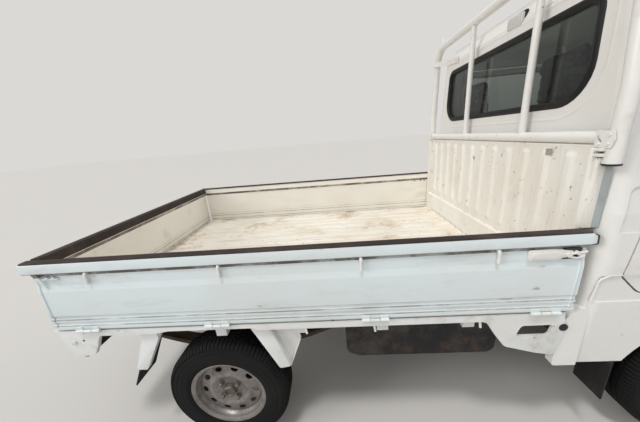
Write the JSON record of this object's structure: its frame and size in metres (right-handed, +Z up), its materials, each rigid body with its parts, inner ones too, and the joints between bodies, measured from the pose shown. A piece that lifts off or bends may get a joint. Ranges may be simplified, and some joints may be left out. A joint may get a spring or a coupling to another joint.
{
  "type": "kei truck",
  "caption": "Small flatbed truck with a short cab, drop-side cargo bed, tube guard frame behind the cab and four steel wheels.",
  "frame": {"origin": "middle of the vehicle on the ground", "axes": "+X forward, +Y to the vehicle's left, +Z up"},
  "size_m": [3.395, 1.76, 1.885],
  "materials": {
    "body_paint": "aged white enamel",
    "window_glass": "clear",
    "chassis_steel": "dull black",
    "black_plastic": "grained",
    "flap_rubber": "matt",
    "lamp_clear": "clear lens",
    "lamp_red": "red lens",
    "seat_vinyl": "vinyl",
    "tyre": "worn",
    "rim_silver": "silver enamel"
  },
  "bodies": {
    "chassis": {"bed_crossmembers": "body_paint", "bed_floor": "body_paint", "bed_lamp": "black_plastic", "bed_sills": "body_paint", "cab_back_panel": "body_paint", "cab_floor": "body_paint", "cab_front_panel": "body_paint", "cab_roof": "body_paint", "cab_side_left": "body_paint", "cab_side_right": "body_paint", "chassis_crossmembers": "chassis_steel", "chassis_rails": "chassis_steel", "dashboard": "black_plastic", "engine_block": "chassis_steel", "exhaust": "chassis_steel", "front_bumper": "black_plastic", "front_wheel_houses": "body_paint", "fuel_tank": "chassis_steel", "grille": "black_plastic", "guard_frame": "body_paint", "headboard": "body_paint", "headlamps": "lamp_clear", "leaf_springs": "chassis_steel", "lower_arms": "chassis_steel", "mud_flaps": "flap_rubber", "propeller_shaft": "chassis_steel", "rear_axle": "chassis_steel", "rear_lamps": "lamp_red", "rear_mudguards": "body_paint", "rear_window": "window_glass", "seat_backs": "seat_vinyl", "seat_cushions": "seat_vinyl", "spare_wheel": "tyre", "steering_column": "black_plastic", "turn_signals": "lamp_clear", "windscreen": "window_glass"},
    "door_left": {"door_shell_left": "body_paint", "door_glass_left": "window_glass", "mirror_left": "black_plastic"},
    "door_right": {"door_shell_right": "body_paint", "door_glass_right": "window_glass", "mirror_right": "black_plastic"},
    "side_gate_left": {"side_gate_left": "body_paint"},
    "side_gate_right": {"side_gate_right": "body_paint"},
    "tail_gate": {"tail_gate": "body_paint"},
    "steering": {"steering_wheel": "black_plastic"},
    "knuckle_left": {"knuckle_left": "chassis_steel"},
    "knuckle_right": {"knuckle_right": "chassis_steel"},
    "wheel_front_left": {"tyre_front_left": "tyre", "rim_front_left": "rim_silver"},
    "wheel_front_right": {"tyre_front_right": "tyre", "rim_front_right": "rim_silver"},
    "wheel_rear_left": {"tyre_rear_left": "tyre", "rim_rear_left": "rim_silver"},
    "wheel_rear_right": {"tyre_rear_right": "tyre", "rim_rear_right": "rim_silver"}
  },
  "joints": [
    {"name": "door_left_hinge", "type": "hinge", "parent": "chassis", "child": "door_left", "pos_m": [1.45, 0.738, 0.7], "axis": [0, 0, -1], "range_deg": [0, 62]},
    {"name": "door_right_hinge", "type": "hinge", "parent": "chassis", "child": "door_right", "pos_m": [1.45, -0.738, 0.7], "axis": [0, 0, 1], "range_deg": [0, 62]},
    {"name": "side_gate_left_hinge", "type": "hinge", "parent": "chassis", "child": "side_gate_left", "pos_m": [-0.6, 0.7355, 0.645], "axis": [-1, 0, 0], "range_deg": [0, 178]},
    {"name": "side_gate_right_hinge", "type": "hinge", "parent": "chassis", "child": "side_gate_right", "pos_m": [-0.6, -0.7355, 0.645], "axis": [1, 0, 0], "range_deg": [0, 178]},
    {"name": "tail_gate_hinge", "type": "hinge", "parent": "chassis", "child": "tail_gate", "pos_m": [-1.6925, 0, 0.645], "axis": [0, -1, 0], "range_deg": [0, 178]},
    {"name": "steering_turn", "type": "hinge", "parent": "chassis", "child": "steering", "pos_m": [1.045, -0.335, 1.075], "axis": [-0.6691, 0, 0.7431], "range_deg": [-540, 540]},
    {"name": "steer_left", "type": "hinge", "parent": "chassis", "child": "knuckle_left", "pos_m": [0.87, 0.545, 0.267], "axis": [0, 0, 1], "range_deg": [-32, 32]},
    {"name": "steer_right", "type": "hinge", "parent": "chassis", "child": "knuckle_right", "pos_m": [0.87, -0.545, 0.267], "axis": [0, 0, 1], "range_deg": [-32, 32]},
    {"name": "wheel_front_left_spin", "type": "hinge", "parent": "knuckle_left", "child": "wheel_front_left", "pos_m": [0.87, 0.65, 0.267], "axis": [0, 1, 0], "continuous": true},
    {"name": "wheel_front_right_spin", "type": "hinge", "parent": "knuckle_right", "child": "wheel_front_right", "pos_m": [0.87, -0.65, 0.267], "axis": [0, 1, 0], "continuous": true},
    {"name": "wheel_rear_left_spin", "type": "hinge", "parent": "chassis", "child": "wheel_rear_left", "pos_m": [-1.03, 0.65, 0.267], "axis": [0, 1, 0], "continuous": true},
    {"name": "wheel_rear_right_spin", "type": "hinge", "parent": "chassis", "child": "wheel_rear_right", "pos_m": [-1.03, -0.65, 0.267], "axis": [0, 1, 0], "continuous": true}
  ],
  "couplings": [
    {"joint": "steer_left", "follows": "steering_turn", "ratio": 0.05882},
    {"joint": "steer_right", "follows": "steering_turn", "ratio": 0.05882}
  ]
}
